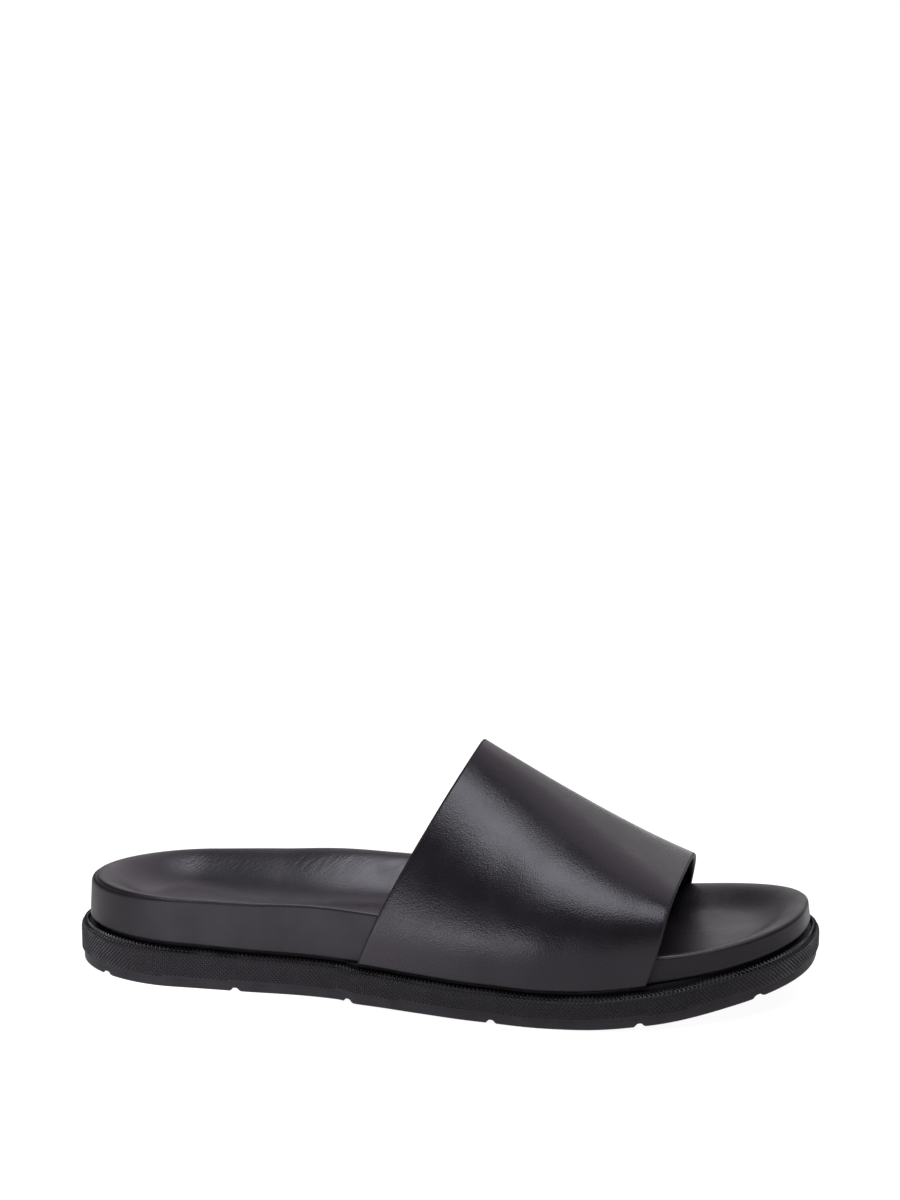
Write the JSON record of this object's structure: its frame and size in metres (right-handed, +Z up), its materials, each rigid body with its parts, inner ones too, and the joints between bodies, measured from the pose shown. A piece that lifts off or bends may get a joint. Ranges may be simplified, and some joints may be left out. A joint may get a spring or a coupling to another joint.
{
  "type": "slip-on sandal",
  "caption": "Slip-on sandal for the right foot: a wide leather strap over a dished leather footbed on a knurled rubber outsole, open at toe and heel.",
  "frame": {"origin": "on the floor, under the middle of the sole's box", "axes": "+X to the toe, +Y to the inner side of the foot, +Z up"},
  "size_m": [0.2904, 0.1124, 0.0957],
  "materials": {
    "outsole_rubber": "matte knurled black rubber",
    "welt_rubber": "semi-gloss ribbed black rubber",
    "footbed_leather": "smooth satin black leather",
    "insole_leather": "smooth satin black leather",
    "strap_leather": "smooth black leather with a soft gloss"
  },
  "bodies": {
    "root": {"outsole": "outsole_rubber", "welt": "welt_rubber", "footbed": "footbed_leather", "insole": "insole_leather", "strap": "strap_leather"}
  },
  "joints": []
}
